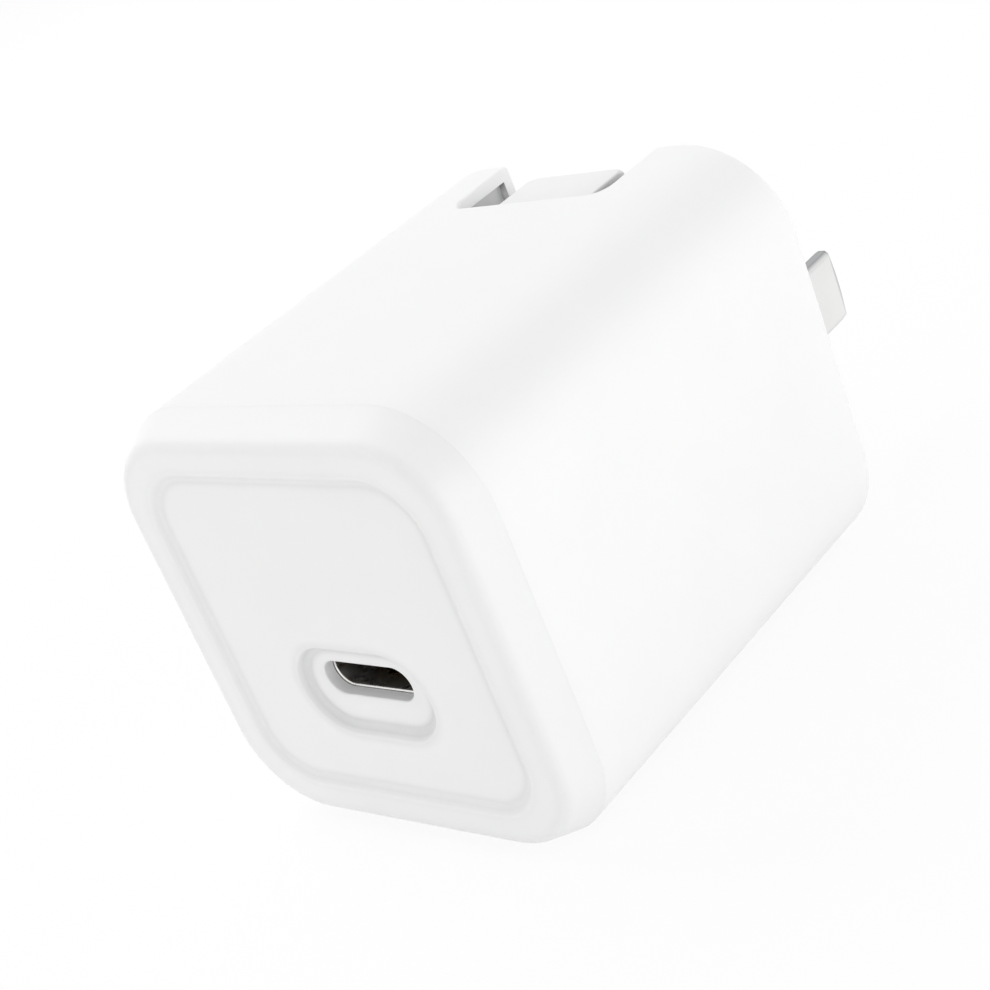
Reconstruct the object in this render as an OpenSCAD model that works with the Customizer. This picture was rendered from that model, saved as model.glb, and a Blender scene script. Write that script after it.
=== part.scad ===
// Compact wall charger: one USB-C port in front, a folding two-blade plug behind.
// Millimetres. X runs across the body, Y from the port (-) to the plug (+),
// and Z up from the centre of the flat underside.

/* [Body] */
// Width of the body
body_w = 35; // [34.6:0.2:38]
// Height of the body
body_h = 35; // [34.6:0.2:38]
// Length from the front rim to the rear face
body_l = 41.4; // [41:0.2:46]
// Radius of the four long edges
corner_r = 7.9; // [7:0.1:8.4]
// Thickness of the housing wall
wall = 1.8; // [1.6:0.05:1.9]
// Chamfer round the rear edge
rear_chamfer = 0.4; // [0.2:0.05:0.7]

/* [Front cap] */
// Depth of the bevelled front cap
cap_depth = 3.1; // [2.9:0.1:3.6]
// How far the bevel draws the rim in on each side
bevel_inset = 1.35; // [1:0.05:1.6]
// Distance from the side of the body to the edge of the sunken panel
panel_margin = 3.8; // [3.4:0.1:5]
// Corner radius of the sunken panel
panel_r = 4.7; // [4:0.1:5.5]
// Depth of the sunken panel
panel_drop = 0.5; // [0.3:0.05:0.6]
// How far the panel's sloping edge runs in
panel_slope = 0.5; // [0.3:0.05:0.8]
// Length of the skirt that enters the housing
skirt_l = 2.4; // [1.8:0.1:3]
// Thickness of the skirt
skirt_t = 0.9; // [0.7:0.05:1]

/* [Port] */
// How far the port's centre lies below the middle of the front
port_drop = 4.1; // [3.6:0.1:4.3]
// Width of the pill-shaped pocket round the port
pocket_w = 13.1; // [12.4:0.1:14]
// Height of the pocket
pocket_h = 7.7; // [7:0.1:8.4]
// How far the pocket's centre lies below the port's centre
pocket_drop_z = 0.65; // [0.5:0.05:0.9]
// Depth of the pocket's floor below the panel
pocket_depth = 0.8; // [0.6:0.05:1]
// How far the pocket's sloping wall runs in
pocket_slope = 0.4; // [0.2:0.05:0.6]
// Cap thickness behind the pocket's floor
face_wall = 1; // [0.8:0.05:1.2]
// Outer width of the receptacle shell
shell_w = 8.94; // [8.8:0.02:9.1]
// Outer height of the receptacle shell
shell_h = 3.2; // [3.1:0.02:3.3]
// Length of the receptacle shell
shell_l = 7.4; // [6.8:0.1:8]
// Sheet thickness of the receptacle shell
shell_t = 0.3; // [0.2:0.02:0.32]
// How much wider the cap's mouth is than the inside of the shell, all round
mouth_gap = 0.15; // [0.05:0.01:0.25]
// Width of the contact tongue
tongue_w = 6.7; // [6.5:0.05:6.9]
// Thickness of the contact tongue
tongue_t = 0.7; // [0.6:0.02:0.8]
// Contacts on each side of the tongue
contact_count = 12; // [8:1:12]

/* [Plug] */
// Distance between the blades, centre to centre
blade_pitch = 12.7; // [12.6:0.05:12.8]
// Width of a blade
blade_w = 6.35; // [6.1:0.05:6.6]
// Thickness of a blade
blade_t = 1.5; // [1.4:0.02:1.6]
// How far the blades stand out of the rear face
blade_reach = 18.2; // [17:0.1:18.4]
// Chamfer along the edges of a blade
blade_chamfer = 0.35; // [0.15:0.05:0.45]
// Radius of the rounded tip
blade_tip_r = 11; // [9:0.5:16]
// Height of the hinge above the underside
hinge_z = 12.8; // [12.6:0.1:13]
// Distance from the rear face to the hinge
hinge_inset = 3.3; // [3.25:0.05:3.5]
// How far the blade's middle lies above the hinge
blade_offset = 1.1; // [1:0.05:1.2]
// Radius of the blade's round root
root_r = 2.9; // [2.8:0.05:3]
// Radius of the hinge pin
pin_r = 0.75; // [0.6:0.05:0.85]
// Radial clearance of the turning fit
turn_gap = 0.05; // [0.03:0.01:0.08]
// Radius of the barrel between the blades
barrel_r = 3.15; // [3.05:0.05:3.2]
// Depth of the flats on the barrel
barrel_flat = 0.3; // [0.15:0.05:0.4]
// Radius of the core that carries the blades
core_r = 1.6; // [1.5:0.05:1.8]
// Radius of the disc outside each blade
cheek_r = 2.2; // [2:0.05:2.3]
// Thickness of the disc outside each blade
cheek_t = 0.5; // [0.4:0.05:0.6]

/* [Plug recess] */
// Width of the notch in the top and rear
notch_w = 15.2; // [15:0.1:15.8]
// Corner radius of the notch
notch_r = 1.5; // [1:0.1:2]
// Wall thickness left round the notch
lip_t = 1; // [0.8:0.05:1.2]
// Gap from a folded blade to the front of its slot
fold_gap = 0.33; // [0.25:0.02:0.5]
// How far the slots widen behind the notch's edge
undercut = 0.6; // [0.5:0.05:0.7]
// Width of the rib between the slots
rib_w = 9.6; // [9:0.1:9.8]
// How far the rib's top lies below the body's top
rib_drop = 1; // [0.8:0.05:1.2]
// How far the rib's end lies inside the rear face
rib_inset = 0.5; // [0.3:0.05:0.7]
// Rounding of the rib's rear edge
rib_edge_r = 0.8; // [0.4:0.1:1]
// Thickness of the cradle's walls
cradle_t = 0.9; // [0.8:0.05:1]
// Gap round the turning pieces
swing_gap = 0.25; // [0.15:0.01:0.3]
// Thickness of the contact springs
leaf_t = 0.3; // [0.2:0.02:0.32]
// Width of the contact springs
leaf_w = 1.4; // [1.1:0.05:1.5]
// Gap between a contact spring and the blade's root
contact_gap = 0.05; // [0.03:0.01:0.08]
// Radius of a lead's insulation
lead_r = 0.45; // [0.3:0.05:0.5]

/* [Boards] */
// Thickness of the main board
board_t = 1.2; // [1:0.05:1.3]
// Space for solder under the main board
board_lift = 1.1; // [1:0.05:1.2]
// Gap from the main board's edge to the housing
board_side = 0.9; // [0.7:0.1:1.3]
// Thickness of the port's board
usb_board_t = 0.8; // [0.6:0.05:1]
// Width of the port's board
usb_board_w = 19; // [18:0.1:20]
// Length of the port's board
usb_board_l = 12.4; // [12:0.1:12.6]
// Pins between the two boards
link_count = 6; // [4:1:8]

/* [Power parts] */
// Diameter of a bulk capacitor
bulk_d = 8; // [7.4:0.1:8.1]
// Length of a bulk capacitor
bulk_l = 20; // [18:0.5:22]
// Diameter of an output capacitor
out_d = 6.3; // [5.6:0.1:6.5]
// Gap between the output capacitors and the port's board
out_gap = 0.9; // [0.6:0.1:1.6]
// Width of the transformer's core
core_w = 17.6; // [16.6:0.1:17.8]
// Gap between the transformer and the plug's cradle
core_gap = 1; // [0.9:0.1:1.8]
// Height of the transformer's core
core_h = 17; // [16:0.1:18.4]
// Thickness of the core's plates and legs
core_t = 2.6; // [2.2:0.1:2.8]
// Radius of the core's centre post
post_r = 2.9; // [2.6:0.05:3]
// Thickness of the wound layer
winding_t = 1.5; // [1.2:0.05:1.55]
// Width of the suppression capacitor
xcap_w = 5.6; // [5:0.1:5.8]
// How much shorter than the transformer it is
xcap_short = 1; // [0.4:0.1:2.4]
// Height of the suppression capacitor
xcap_h = 10; // [9:0.1:11]
// Gap between it and the transformer
row_gap = 1.2; // [0.8:0.1:1.4]
// Outer radius of the choke's core
choke_r = 5.2; // [4.8:0.1:5.3]
// Inner radius of the choke's core
choke_bore_r = 3.2; // [2.9:0.1:3.3]
// Thickness of the choke's core
choke_t = 4.4; // [3.8:0.1:4.6]
// Thickness of the wire on the choke
choke_wire = 0.7; // [0.5:0.05:0.8]
// Radius of the round discs: thermistor, varistor and class Y capacitor
disc_r = 3.5; // [3:0.1:3.7]
// Thickness of the round discs
disc_t = 2.6; // [2:0.1:2.8]
// Thickness of the heat spreader
spreader_t = 0.4; // [0.3:0.05:0.45]
// Thickness of the insulation barrier
barrier_t = 0.4; // [0.3:0.05:0.5]

/* [Hidden] */
$fn = 64;

// overlap that makes unions and cuts clean
eps = 0.01;
// clearance of pieces that are pushed together
seat_gap = 0.02;
// clearance of pieces that are dropped in
drop_gap = 0.1;
// least space between power parts
part_gap = 0.3;
// how far a cut runs past the face that it opens
past = 1;

front_y = -body_l / 2;
rear_y = body_l / 2;
mid_z = body_h / 2;
crease_y = front_y + cap_depth;
pocket_floor_y = front_y + panel_drop + pocket_depth;
cap_back_y = pocket_floor_y + face_wall;
port_z = mid_z - port_drop;
pocket_z = port_z - pocket_drop_z;
inner_w = body_w - 2 * wall;
inner_h = body_h - 2 * wall;
inner_r = corner_r - wall;
inner_rear_y = rear_y - wall;

hinge_y = rear_y - hinge_inset;
blade_x = blade_pitch / 2;
blade_in_x = blade_x - blade_t / 2;
blade_out_x = blade_x + blade_t / 2;
blade_top = blade_offset + blade_w / 2;
blade_bottom = blade_offset - blade_w / 2;
blade_l = rear_y + blade_reach - hinge_y;
key_r = 0.5;
key_y = core_r;
key_z = core_r + 0.4;
cheek_x = blade_out_x + seat_gap + cheek_t;
tip_bevel_l = 0.9;

notch_y = hinge_y - blade_top - fold_gap;
chamber_x = notch_w / 2 + undercut;
chamber_r = barrel_r + swing_gap;
slot_bottom_z = hinge_z - chamber_r;
cradle_x = chamber_x + cradle_t;
cradle_y = notch_y - cradle_t;
cradle_r = chamber_r + cradle_t;
cradle_rear_y = rear_y - lip_t - drop_gap;
cradle_top_z = body_h - lip_t - drop_gap;
slot_floor_z = hinge_z - 0.3;
lip_low_z = body_h - lip_t;
rib_y = notch_y + 0.3;
rib_corner_r = 1.2;
rib_foot = 2;
rib_rear_y = rear_y - rib_inset;
rib_top_z = body_h - rib_drop;
rib_foot_z = min(cradle_top_z, rib_top_z);

boss_l = 3;
boss_r = 2;
screw_r = 0.75;
screw_head_r = 1.6;
screw_head_t = 1.1;
ear_t = 1.5;
ear_x = cradle_x + boss_r + 0.3;
ear_rise = 4.5;
ear_z = mid_z + ear_rise;
ear_root = 0.2;
screw_end_gap = 0.3;
recess_l = 1.8;
recess_w = 0.45;
recess_depth = 0.6;
boss_y = inner_rear_y - boss_l;

leaf_top = -root_r - contact_gap;
shelf_top = leaf_top - leaf_t - seat_gap;
shelf_y = cradle_y - part_gap;
shelf_x = chamber_x;
leaf_end = 0.8;
leaf_y = shelf_y + 0.2;
leaf_base_l = 1.5;
stake_r = 0.4;
stake_tip = 0.5;
stake_y = leaf_y + leaf_base_l / 2;
lead_x = shelf_x + lead_r + drop_gap;
lead_y = leaf_y + lead_r + drop_gap;
strip_l = 0.8;

board_z = wall + board_lift;
board_top_z = board_z + board_t;
// the round corner of the housing leaves this much room at the board's foot
foot_w = inner_w - 2 * inner_r + 2 * sqrt(pow(inner_r, 2) - pow(inner_r - board_lift, 2));
board_w = foot_w - 2 * board_side;
inside_y = crease_y + skirt_l + part_gap;
board_y = inside_y;
board_end_gap = 1.2;
board_rear_y = inner_rear_y - board_end_gap;
rail_w = 1;
rail_x = board_w / 3;
rail_y = board_y + 3;

shell_y = cap_back_y + turn_gap;
shell_side = 0.05;
mouth_w = shell_w - 2 * shell_t + 2 * mouth_gap;
mouth_h = shell_h - 2 * shell_t + 2 * mouth_gap;
shell_rear_y = shell_y + shell_l;
usb_top_z = port_z - shell_h / 2;
usb_z = usb_top_z - usb_board_t;
// the shell stands out over the front of its board
shell_overhang = 0.85;
usb_y = shell_y + shell_overhang;
usb_rear_y = usb_y + usb_board_l;
tongue_y = shell_y + 1;
tongue_base_l = 2;
contact_pitch = 0.5;
contact_w = 0.25;
contact_l = 3.4;
contact_t = 0.05;
contact_y = tongue_y + 0.6;
link_pitch = 2;
link_t = 0.6;
link_inset = 1.2;
link_y = usb_rear_y - link_inset;
ic_room = link_y - link_t / 2 - shell_rear_y - 2 * drop_gap;
ic_y = shell_rear_y + drop_gap + ic_room / 2;
ic_side = 3.6;
ic_w = min(ic_side, ic_room);
ic_x = ic_side;
pd_size = [ic_w, ic_w, 0.85];
switch_size = [0.8 * ic_w, 0.9 * ic_w, 0.8];
side_x = (shell_w + usb_board_w) / 4;
resistor = [1.6, 0.8, 0.45];
resistor_count = 4;
ceramic = [1.6, 1.2, 1];
ceramic_count = 2;
side_step = 1.7;
side_y = usb_y + 2;
opto = [2.6, 4.4, 2.1];
sync = [4.4, 4, 1];
bridge_w = 6.8;
bridge_h = 2.4;
fuse_r = 1.4;
gan_w = 8;

spreader_z = body_h - wall - drop_gap - spreader_t;
bulk_z = spreader_z - drop_gap - bulk_d / 2;
// the cap's round corners need this much behind its face
bulk_front_gap = 1.8;
bulk_y = cap_back_y + bulk_front_gap + bulk_d / 2;
seal_l = 0.9;
groove_l = 0.5;
groove_depth = 0.25;
out_h = usb_z - board_top_z - out_gap;
// half the space between the two output capacitors
out_half_gap = 1.8;
out_x = out_d / 2 + out_half_gap;
out_y = board_y + out_d / 2 + drop_gap;
opto_x = out_x + out_d / 2 + part_gap + opto[0] / 2;
bulk_step = bulk_d + part_gap;
// the third can nests under the other two
bulk_low_z = bulk_z - bulk_step * sin(60);
barrier_y = usb_rear_y + part_gap;
leg_r = 0.2;
leg_room = 1;
core_y = barrier_y + barrier_t + leg_room;
core_d = cradle_y - core_gap - core_y;
row_w = core_w + row_gap + xcap_w;
core_x = row_w / 2 - core_w;
core_mid_x = core_x + core_w / 2;
core_mid_y = core_y + core_d / 2;
core_half = core_h / 2;
core_mid_z = board_top_z + core_half + drop_gap;
core_top_z = core_mid_z + core_half;
bobbin_t = 0.5;
bobbin_r = post_r + drop_gap + bobbin_t;
winding_r = bobbin_r + drop_gap / 2 + winding_t;
window_h = core_h - 2 * core_t;
tape_t = 0.15;
xcap_x = -row_w / 2;
xcap_l = core_d - xcap_short;
xcap_top_z = board_top_z + xcap_h;
// the two windings leave the choke's core bare at its top and foot
bare_angle = 15;
choke_x = xcap_x + choke_t / 2 + choke_wire;
choke_y = core_y + core_d - choke_r - choke_wire;
choke_z = xcap_top_z + (choke_r + choke_wire) * cos(bare_angle) + seat_gap;
disc_x = cradle_x + part_gap + disc_t / 2;
low_shift = 4;
low_x = lead_x - lead_r - low_shift;
disc_y = inner_rear_y - drop_gap - disc_r;
disc_lift = 1.5;
disc_z = board_top_z + disc_lift + disc_r;
ycap_z = core_top_z + drop_gap + disc_t / 2;
ycap_front_y = core_y - leg_room / 2;
ycap_rear_y = (core_y + core_d + shelf_y) / 2;
row_end_y = core_y + core_d + part_gap;
low_y = (row_end_y + board_rear_y) / 2;
low_room = board_rear_y - row_end_y;

// ---- shared shapes -----------------------------------------------------

// a rectangle with round corners, centred
module rounded(w, h, r) {
    square([w - 2 * r, h], center = true);
    if (h - 2 * r > eps) square([w, h - 2 * r], center = true);
    for (x = [-1, 1])
        for (y = [-1, 1])
            translate([x * (w / 2 - r), y * (h / 2 - r)]) circle(r);
}

// a rounded rectangle that shrinks evenly on all sides over its depth
module rounded_frustum(w, h, r, inset, depth) {
    rotate([90, 0, 90])
        linear_extrude(w - 2 * r, center = true)
            polygon([[-h / 2, 0], [h / 2, 0], [h / 2 - inset, depth], [inset - h / 2, depth]]);
    if (h - 2 * r > eps)
        rotate([90, 0, 0])
            linear_extrude(h - 2 * r, center = true)
                polygon([[-w / 2, 0], [w / 2, 0], [w / 2 - inset, depth], [inset - w / 2, depth]]);
    for (x = [-1, 1])
        for (y = [-1, 1])
            translate([x * (w / 2 - r), y * (h / 2 - r), 0])
                cylinder(h = depth, r1 = r, r2 = r - inset);
}

// a flat outline in X and Z, run from y0 to y1 at height z
module along_y(y0, y1, z) {
    translate([0, y1, z])
        rotate([90, 0, 0])
            linear_extrude(y1 - y0) children();
}

// a flat outline in Y and Z, run from x0 to x1
module along_x(x0, x1) {
    translate([x0, 0, 0])
        rotate([90, 0, 90])
            linear_extrude(x1 - x0) children();
}

// a round bar along Y or X between two places
module bar_y(x, z, y0, y1, r) {
    translate([x, y1, z]) rotate([90, 0, 0]) cylinder(h = y1 - y0, r = r);
}

module bar_x(y, z, x0, x1, r) {
    translate([x0, y, z]) rotate([0, 90, 0]) cylinder(h = x1 - x0, r = r);
}

// a block between two corners
module block(low, high) {
    translate(low) cube(high - low);
}

// the open-topped outline with round lower corners, sitting on zero
module cup(w, h, r) {
    translate([-w / 2 + r, 0]) square([w - 2 * r, h]);
    translate([-w / 2, r]) square([w, h - r]);
    for (x = [-1, 1]) translate([x * (w / 2 - r), r]) circle(r);
}

// whatever it is given, and its mirror image on the left
module both_sides() {
    children();
    mirror([1, 0, 0]) children();
}

// ---- casing ------------------------------------------------------------

module outer_shape() {
    along_y(crease_y, rear_y - rear_chamfer + eps, mid_z) rounded(body_w, body_h, corner_r);
    translate([0, rear_y - rear_chamfer, mid_z])
        rotate([-90, 0, 0])
            rounded_frustum(body_w, body_h, corner_r, rear_chamfer, rear_chamfer);
}

module notch_cut() {
    translate([0, notch_y, body_h - wall - past])
        linear_extrude(wall + 2 * past) cup(notch_w, rear_y - notch_y + past, notch_r);
}

// the notch goes on down the rear face
module rear_opening() {
    translate([0, rear_y + past, slot_bottom_z])
        rotate([90, 0, 0])
            linear_extrude(wall + 2 * past) cup(notch_w, body_h, notch_r);
}

module cradle_relief() {
    block([-cradle_x - drop_gap, cradle_y - drop_gap, hinge_z - cradle_r - drop_gap],
          [cradle_x + drop_gap, rear_y - lip_t, lip_low_z]);
}

module housing() {
    color("white") difference() {
        union() {
            difference() {
                outer_shape();
                along_y(crease_y - past, inner_rear_y, mid_z) rounded(inner_w, inner_h, inner_r);
            }
            // two rails carry the main board
            both_sides()
                block([rail_x, rail_y, wall - eps], [rail_x + rail_w, board_rear_y, board_z]);
            // bosses take the cradle's screws
            both_sides() bar_y(ear_x, ear_z, boss_y, inner_rear_y + eps, boss_r);
        }
        notch_cut();
        rear_opening();
        cradle_relief();
        both_sides() bar_y(ear_x, ear_z, boss_y - eps, inner_rear_y, screw_r + turn_gap);
    }
}

module front_cap() {
    color("white") difference() {
        union() {
            translate([0, crease_y, mid_z])
                rotate([90, 0, 0])
                    rounded_frustum(body_w, body_h, corner_r, bevel_inset, cap_depth);
            along_y(crease_y - eps, crease_y + skirt_l, mid_z)
                rounded(inner_w - 2 * drop_gap, inner_h - 2 * drop_gap, inner_r - drop_gap);
        }
        // sunken panel
        translate([0, front_y, mid_z])
            rotate([-90, 0, 0])
                rounded_frustum(body_w - 2 * panel_margin, body_h - 2 * panel_margin, panel_r,
                                panel_slope, panel_drop);
        // pocket round the port
        translate([0, front_y + panel_drop - eps, pocket_z])
            rotate([-90, 0, 0])
                rounded_frustum(pocket_w, pocket_h, pocket_h / 2, pocket_slope, pocket_depth + eps);
        // mouth of the port
        along_y(pocket_floor_y - eps, cap_back_y + past, port_z)
            rounded(mouth_w, mouth_h, mouth_h / 2);
        // hollow inside of the skirt
        along_y(cap_back_y, crease_y + skirt_l + past, mid_z)
            rounded(inner_w - 2 * (drop_gap + skirt_t), inner_h - 2 * (drop_gap + skirt_t),
                    inner_r - drop_gap - skirt_t);
    }
}

// ---- folding plug ------------------------------------------------------

// outline of the space that the plug turns and folds in
module chamber_outline() {
    translate([notch_y, slot_floor_z]) square([body_l, body_h]);
    translate([hinge_y, hinge_z]) circle(chamber_r);
    translate([hinge_y, slot_bottom_z]) square([body_l, chamber_r]);
}

module cradle_outline() {
    translate([cradle_y, slot_floor_z - cradle_t])
        square([cradle_rear_y - cradle_y, cradle_top_z - slot_floor_z + cradle_t]);
    intersection() {
        translate([hinge_y, hinge_z]) circle(cradle_r);
        square([cradle_rear_y, body_h]);
    }
    translate([hinge_y, hinge_z - cradle_r]) square([cradle_rear_y - hinge_y, cradle_r]);
    // shelf under the contact springs
    translate([shelf_y, hinge_z - cradle_r])
        square([hinge_y - shelf_y, cradle_r + shelf_top]);
}

// side outline of the rib, with its rear edge rounded
module rib_outline() {
    translate([rib_y, hinge_z])
        square([rib_rear_y - rib_y, rib_top_z - hinge_z - rib_edge_r]);
    translate([rib_y, hinge_z])
        square([rib_rear_y - rib_y - rib_edge_r, rib_top_z - hinge_z]);
    translate([rib_rear_y - rib_edge_r, rib_top_z - rib_edge_r]) circle(rib_edge_r);
}

module rib_block() {
    intersection() {
        along_x(-rib_w / 2, rib_w / 2) rib_outline();
        translate([0, (rib_y + rib_rear_y) / 2, 0])
            linear_extrude(body_h) rounded(rib_w, rib_rear_y - rib_y, rib_corner_r);
    }
    block([-rib_w / 2, cradle_y, hinge_z], [rib_w / 2, rib_y + rib_foot, rib_foot_z]);
}

module plug_cradle() {
    color("whitesmoke") difference() {
        union() {
            difference() {
                along_x(-cradle_x, cradle_x) cradle_outline();
                along_x(-chamber_x, chamber_x) chamber_outline();
                // the shelf is narrower than the cradle
                both_sides()
                    block([shelf_x, shelf_y - past, hinge_z - cradle_r - past],
                          [cradle_x + past, lead_y + lead_r + drop_gap, hinge_z + leaf_top + drop_gap]);
            }
            difference() {
                rib_block();
                bar_x(hinge_y, hinge_z, -rib_w, rib_w, chamber_r);
                block([-rib_w / 2 + cradle_t, cradle_y - past, hinge_z + cradle_r],
                      [rib_w / 2 - cradle_t, rib_rear_y - cradle_t, rib_top_z - cradle_t]);
            }
            both_sides() {
                bar_y(ear_x, ear_z, boss_y - ear_t, boss_y, boss_r);
                block([cradle_x - ear_root, boss_y - ear_t, ear_z - boss_r],
                      [ear_x, boss_y, ear_z + boss_r]);
                // stakes hold the contact springs
                translate([blade_x, stake_y, hinge_z + shelf_top - eps])
                    cylinder(h = leaf_t + stake_tip, r = stake_r);
            }
        }
        bar_x(hinge_y, hinge_z, -cradle_x - past, cradle_x + past, pin_r + seat_gap);
        both_sides() {
            bar_y(ear_x, ear_z, boss_y - ear_t - past, boss_y + past, screw_r + drop_gap);
            // windows let the contact springs reach the blades
            block([blade_x - leaf_w / 2 - drop_gap, leaf_y + leaf_base_l, hinge_z + shelf_top],
                  [blade_x + leaf_w / 2 + drop_gap, hinge_y, hinge_z + leaf_top + leaf_t]);
        }
    }
}

module cradle_screws() {
    head_y = boss_y - ear_t - screw_head_t;
    color("silver") both_sides() {
        bar_y(ear_x, ear_z, head_y + screw_head_t - eps, inner_rear_y - screw_end_gap, screw_r);
        difference() {
            bar_y(ear_x, ear_z, head_y, head_y + screw_head_t, screw_head_r);
            translate([ear_x, head_y, ear_z])
                for (a = [0, 90])
                    rotate([0, a, 0]) cube([recess_l, 2 * recess_depth, recess_w], center = true);
        }
    }
}

module plug_carrier() {
    flat = barrel_r - barrel_flat;
    side = blade_in_x - seat_gap;
    color("white") difference() {
        union() {
            difference() {
                bar_x(hinge_y, hinge_z, -side, side, barrel_r);
                // flats that lie level with the rib, plug out or folded
                block([-body_w, hinge_y + flat, 0], [body_w, hinge_y + body_l, body_h]);
                block([-body_w, 0, 0], [body_w, hinge_y + body_l, hinge_z - flat]);
            }
            bar_x(hinge_y, hinge_z, -cheek_x, cheek_x, core_r);
            both_sides() {
                bar_x(hinge_y, hinge_z, blade_out_x + seat_gap, cheek_x, cheek_r);
                // the key stops the blade from turning on the core
                bar_x(hinge_y + key_y, hinge_z + key_z, side - past, blade_out_x, key_r);
            }
        }
        bar_x(hinge_y, hinge_z, -cradle_x, cradle_x, pin_r + turn_gap);
    }
}

// cross-section of a blade, with its four long edges chamfered
module blade_section() {
    a = blade_t / 2;
    b = blade_w / 2;
    c = blade_chamfer;
    polygon([[a, b - c], [a - c, b], [c - a, b], [-a, b - c],
             [-a, c - b], [c - a, -b], [a - c, -b], [a, c - b]]);
}

// one blade, on the right
module blade() {
    tip_y = hinge_y + blade_l;
    a = blade_t / 2;
    difference() {
        union() {
            intersection() {
                along_y(hinge_y, tip_y, hinge_z + blade_offset)
                    translate([blade_x, 0]) blade_section();
                union() {
                    bar_x(tip_y - blade_tip_r, hinge_z + blade_offset, 0, body_w, blade_tip_r);
                    block([0, 0, 0], [body_w, tip_y - blade_tip_r, body_h]);
                }
            }
            bar_x(hinge_y, hinge_z, blade_in_x, blade_out_x, root_r);
        }
        bar_x(hinge_y, hinge_z, 0, body_w, core_r + seat_gap);
        bar_x(hinge_y + key_y, hinge_z + key_z, 0, body_w, key_r + seat_gap);
        // the tip is thinned on both faces
        translate([blade_x, tip_y, 0])
            linear_extrude(body_h)
                for (s = [-1, 1])
                    polygon([[s * a, -tip_bevel_l], [s * (a - blade_chamfer), 0],
                             [s * (a - blade_chamfer), past], [s * (a + past), past],
                             [s * (a + past), -tip_bevel_l]]);
    }
}

module blade_right() {
    color("silver") blade();
}

module blade_left() {
    color("silver") mirror([1, 0, 0]) blade();
}

module hinge_pin() {
    color("gray") bar_x(hinge_y, hinge_z, -cradle_x, cradle_x, pin_r);
}

// a leaf that runs under the blade's root, with a tab for the lead
module contact_spring() {
    leaf_z = hinge_z + leaf_top - leaf_t;
    difference() {
        union() {
            block([blade_x - leaf_w / 2, leaf_y, leaf_z],
                  [blade_x + leaf_w / 2, hinge_y + leaf_end, leaf_z + leaf_t]);
            block([blade_x - leaf_w / 2, leaf_y, leaf_z],
                  [lead_x + lead_r, leaf_y + leaf_base_l, leaf_z + leaf_t]);
        }
        translate([blade_x, stake_y, leaf_z - past])
            cylinder(h = leaf_t + 2 * past, r = stake_r + seat_gap);
    }
}

module contact_spring_right() {
    color("goldenrod") contact_spring();
}

module contact_spring_left() {
    color("goldenrod") mirror([1, 0, 0]) contact_spring();
}

// an insulated wire from the main board up to the contact spring's tab
module lead() {
    top = hinge_z + leaf_top - leaf_t;
    translate([lead_x, lead_y, board_top_z + strip_l])
        cylinder(h = top - board_top_z - 2 * strip_l, r = lead_r);
    translate([lead_x, lead_y, board_top_z])
        cylinder(h = top - board_top_z, r = lead_r / 2);
}

module live_lead() {
    color("brown") lead();
}

module neutral_lead() {
    color("royalblue") mirror([1, 0, 0]) lead();
}

// ---- boards and the port -----------------------------------------------

module main_board() {
    color("darkgreen")
        block([-board_w / 2, board_y, board_z], [board_w / 2, board_rear_y, board_top_z]);
}

module usb_board() {
    color("darkgreen")
        block([-usb_board_w / 2, usb_y, usb_z], [usb_board_w / 2, usb_rear_y, usb_top_z]);
}

module board_link_pins() {
    color("gold")
        for (i = [0 : link_count - 1])
            translate([(i - (link_count - 1) / 2) * link_pitch, link_y, 0])
                block([-link_t / 2, -link_t / 2, board_top_z], [link_t / 2, link_t / 2, usb_z]);
}

module usb_shell() {
    color("silver") difference() {
        along_y(shell_y, shell_rear_y, port_z) rounded(shell_w, shell_h, shell_h / 2 - shell_side);
        along_y(shell_y - past, shell_rear_y - shell_t, port_z)
            rounded(shell_w - 2 * shell_t, shell_h - 2 * shell_t, shell_h / 2 - shell_t - shell_side);
    }
}

module usb_tongue() {
    base_w = shell_w - 2 * shell_t - shell_h / 2;
    base_h = shell_h - 2 * shell_t - 2 * drop_gap;
    color("dimgray") {
        block([-tongue_w / 2, tongue_y, port_z - tongue_t / 2],
              [tongue_w / 2, shell_rear_y - shell_t, port_z + tongue_t / 2]);
        block([-base_w / 2, shell_rear_y - shell_t - tongue_base_l, port_z - base_h / 2],
              [base_w / 2, shell_rear_y - shell_t, port_z + base_h / 2]);
    }
}

module usb_contacts() {
    color("gold")
        for (i = [0 : contact_count - 1])
            for (s = [-1, 1])
                translate([(i - (contact_count - 1) / 2) * contact_pitch, contact_y,
                           port_z + s * (tongue_t + contact_t) / 2])
                    block([-contact_w / 2, 0, -contact_t / 2], [contact_w / 2, contact_l, contact_t / 2]);
}

// a flat package, given the middle of its foot
module chip(x, y, z, size) {
    translate([x, y, z + size[2] / 2]) cube(size, center = true);
}

module pd_controller() {
    color("black") chip(ic_x, ic_y, usb_top_z, pd_size);
}

module output_switch() {
    color("black") chip(-ic_x, ic_y, usb_top_z, switch_size);
}

// resistors and then ceramic capacitors, in a row along each side of the port's board
module chip_resistors() {
    color("black")
        both_sides()
            for (i = [0 : resistor_count - 1])
                chip(side_x, side_y + i * side_step, usb_top_z, resistor);
}

module ceramic_capacitors() {
    color("tan")
        both_sides()
            for (i = [resistor_count : resistor_count + ceramic_count - 1])
                chip(side_x, side_y + i * side_step, usb_top_z, ceramic);
}

// ---- power parts -------------------------------------------------------

// an aluminium can standing on its seal, with a rolled groove near the foot
module upright_can(d, h) {
    can_z = seal_l + groove_l;
    cylinder(h = seal_l, r = d / 2);
    translate([0, 0, seal_l]) cylinder(h = groove_l, r = d / 2 - groove_depth);
    translate([0, 0, can_z]) cylinder(h = h - can_z, r = d / 2);
}

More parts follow.
